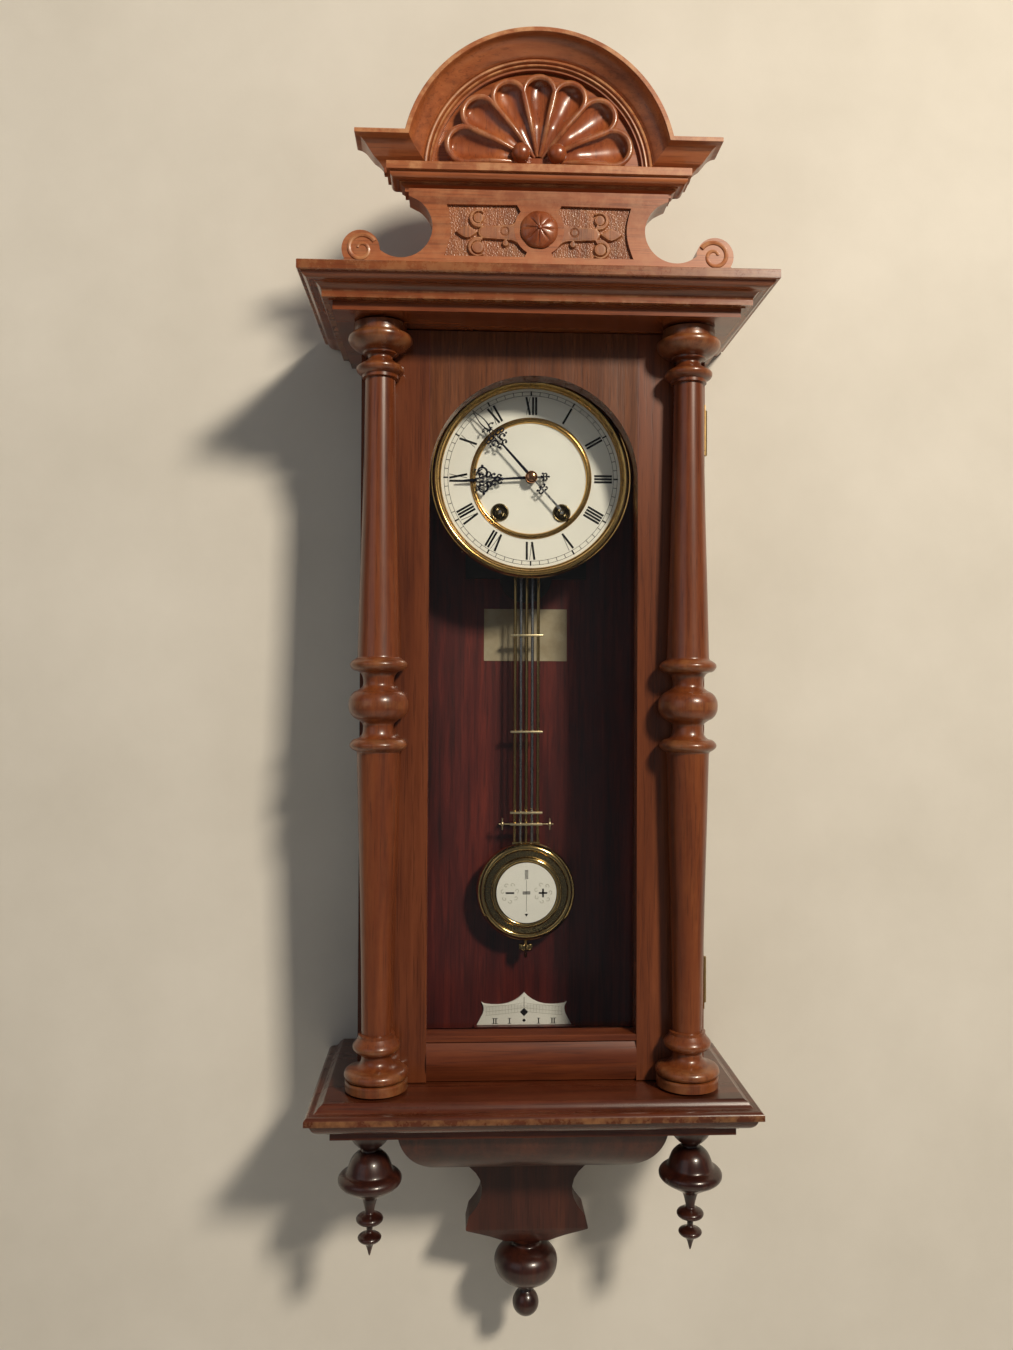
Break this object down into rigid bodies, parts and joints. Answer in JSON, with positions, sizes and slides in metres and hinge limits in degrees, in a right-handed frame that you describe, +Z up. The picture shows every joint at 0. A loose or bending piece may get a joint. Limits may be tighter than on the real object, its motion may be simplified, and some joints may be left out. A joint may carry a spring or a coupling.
{
  "type": "pendulum wall clock",
  "caption": "Spring-driven wall clock in a turned-column wooden case with a glazed door, enamel dial, gridiron pendulum, carved shell crest and drop finials.",
  "frame": {"origin": "middle of the hole in the hanger plate, on the back plane", "axes": "+Z up, +X to the right of a person facing the clock, -Y out of the wall towards that person"},
  "size_m": [0.39, 0.193, 1.1155],
  "materials": {
    "case_wood": "gloss shellac over dark walnut",
    "crest_wood": "satin, sun-faded walnut",
    "door_wood": "gloss shellac over walnut",
    "inner_wood": "satin dark mahogany",
    "glass": "clear thin pane",
    "bezel_brass": "polished brass",
    "enamel": "glossy cream vitreous enamel",
    "plate_brass": "aged plate brass",
    "wheel_brass": "satin cut brass",
    "bob_brass": "polished brass",
    "blued_steel": "heat-blued steel",
    "spring_steel": "bright steel",
    "iron": "black japanned iron",
    "hinge_brass": "dull brass",
    "card": "aged matt paper"
  },
  "bodies": {
    "case": {"back_board": "inner_wood", "back_plate": "plate_brass", "base_moulding": "case_wood", "beat_scale": "enamel", "beat_scale_block": "inner_wood", "bracket_apron": "case_wood", "bracket_console": "case_wood", "case_hinge_leaves": "hinge_brass", "centre_drop_finial": "case_wood", "coil_gong": "spring_steel", "cornice_moulding": "case_wood", "cornice_top_slab": "case_wood", "crest_arch_moulding": "crest_wood", "crest_entablature": "crest_wood", "crest_frieze_board": "crest_wood", "crest_rosette": "crest_wood", "crest_shell": "crest_wood", "dial_back_plate": "plate_brass", "dial_bezel": "bezel_brass", "dial_brass_trim": "bezel_brass", "dial_centre_disc": "enamel", "dial_chapter_ring": "enamel", "front_plate": "plate_brass", "hanger_plate": "iron", "movement_bracket": "iron", "paper_label": "card", "side_drop_finials": "case_wood", "side_frames": "case_wood", "side_glass_panes": "glass"},
    "door": {"door_stiles": "door_wood", "door_top_rail": "door_wood", "door_bottom_rail": "door_wood", "door_glass": "glass", "glazing_beads": "door_wood", "left_column": "door_wood", "right_column": "door_wood", "door_hinge_leaves": "hinge_brass"},
    "pendulum": {"pendulum_gridiron": "bob_brass", "suspension_spring": "spring_steel", "pendulum_bob_shell": "bob_brass", "bob_enamel_disc": "enamel"},
    "rating_nut": {"rating_nut": "bob_brass"},
    "anchor": {"anchor_and_crutch": "spring_steel"},
    "minute_arbor": {"centre_arbor": "wheel_brass", "minute_hand": "blued_steel", "hand_nut": "bob_brass"},
    "hour_pipe": {"hour_wheel": "wheel_brass", "hour_hand": "blued_steel"},
    "minute_wheel": {"minute_wheel": "wheel_brass"},
    "second_wheel": {"time_second_wheel": "wheel_brass"},
    "time_barrel": {"time_barrel": "plate_brass"},
    "third_wheel": {"third_wheel": "wheel_brass"},
    "escape_wheel": {"escape_wheel": "wheel_brass"},
    "strike_barrel": {"strike_barrel": "plate_brass"},
    "pin_wheel": {"strike_pin_wheel": "wheel_brass"},
    "fly": {"strike_fly": "plate_brass"},
    "hammer": {"strike_hammer": "spring_steel"},
    "time_winder": {"time_winding_arbor": "spring_steel"},
    "strike_winder": {"strike_winding_arbor": "spring_steel"}
  },
  "joints": [
    {"name": "door_swing", "type": "hinge", "parent": "case", "child": "door", "pos_m": [0.1535, -0.0985, -0.373], "axis": [0, 0, 1], "range_deg": [0, 100]},
    {"name": "pendulum_swing", "type": "hinge", "parent": "case", "child": "pendulum", "pos_m": [0, -0.033, -0.116], "axis": [0, 1, 0], "range_deg": [-4, 4]},
    {"name": "rating_nut_turn", "type": "hinge", "parent": "pendulum", "child": "rating_nut", "pos_m": [0, -0.033, -0.602], "axis": [0, 0, 1], "continuous": true},
    {"name": "anchor_rock", "type": "hinge", "parent": "case", "child": "anchor", "pos_m": [0, -0.04, -0.116], "axis": [0, 1, 0], "range_deg": [-4, 4]},
    {"name": "minute_turn", "type": "hinge", "parent": "case", "child": "minute_arbor", "pos_m": [0, 0, -0.169], "axis": [0, 1, 0], "continuous": true},
    {"name": "hour_turn", "type": "hinge", "parent": "case", "child": "hour_pipe", "pos_m": [0, 0, -0.169], "axis": [0, 1, 0], "continuous": true},
    {"name": "minute_wheel_turn", "type": "hinge", "parent": "case", "child": "minute_wheel", "pos_m": [0.00848, 0, -0.17749], "axis": [0, 1, 0], "continuous": true},
    {"name": "second_wheel_turn", "type": "hinge", "parent": "case", "child": "second_wheel", "pos_m": [0.031, 0, -0.17015], "axis": [0, 1, 0], "continuous": true},
    {"name": "time_barrel_turn", "type": "hinge", "parent": "case", "child": "time_barrel", "pos_m": [0.028, 0, -0.2], "axis": [0, 1, 0], "continuous": true},
    {"name": "third_wheel_turn", "type": "hinge", "parent": "case", "child": "third_wheel", "pos_m": [-0.012, 0, -0.14997], "axis": [0, 1, 0], "continuous": true},
    {"name": "escape_turn", "type": "hinge", "parent": "case", "child": "escape_wheel", "pos_m": [0, 0, -0.138], "axis": [0, 1, 0], "continuous": true},
    {"name": "strike_barrel_turn", "type": "hinge", "parent": "case", "child": "strike_barrel", "pos_m": [-0.028, 0, -0.2], "axis": [0, 1, 0], "continuous": true},
    {"name": "pin_wheel_turn", "type": "hinge", "parent": "case", "child": "pin_wheel", "pos_m": [-0.046, 0, -0.176], "axis": [0, 1, 0], "continuous": true},
    {"name": "fly_turn", "type": "hinge", "parent": "case", "child": "fly", "pos_m": [-0.04, 0, -0.15898], "axis": [0, 1, 0], "continuous": true},
    {"name": "hammer_swing", "type": "hinge", "parent": "case", "child": "hammer", "pos_m": [-0.05, 0, -0.135], "axis": [0, 1, 0], "range_deg": [-4, 12]},
    {"name": "time_winding", "type": "hinge", "parent": "case", "child": "time_winder", "pos_m": [0.028, 0, -0.2], "axis": [0, 1, 0], "continuous": true},
    {"name": "strike_winding", "type": "hinge", "parent": "case", "child": "strike_winder", "pos_m": [-0.028, 0, -0.2], "axis": [0, 1, 0], "continuous": true}
  ],
  "couplings": [
    {"joint": "anchor_rock", "follows": "pendulum_swing", "ratio": 1},
    {"joint": "hour_turn", "follows": "minute_turn", "ratio": 0.083333},
    {"joint": "minute_wheel_turn", "follows": "minute_turn", "ratio": -0.33333},
    {"joint": "second_wheel_turn", "follows": "minute_turn", "ratio": -0.14815},
    {"joint": "time_barrel_turn", "follows": "minute_turn", "ratio": 0.022792},
    {"joint": "third_wheel_turn", "follows": "minute_turn", "ratio": -8},
    {"joint": "escape_turn", "follows": "minute_turn", "ratio": 64},
    {"joint": "pin_wheel_turn", "follows": "strike_barrel_turn", "ratio": -6.5},
    {"joint": "fly_turn", "follows": "strike_barrel_turn", "ratio": 52}
  ]
}
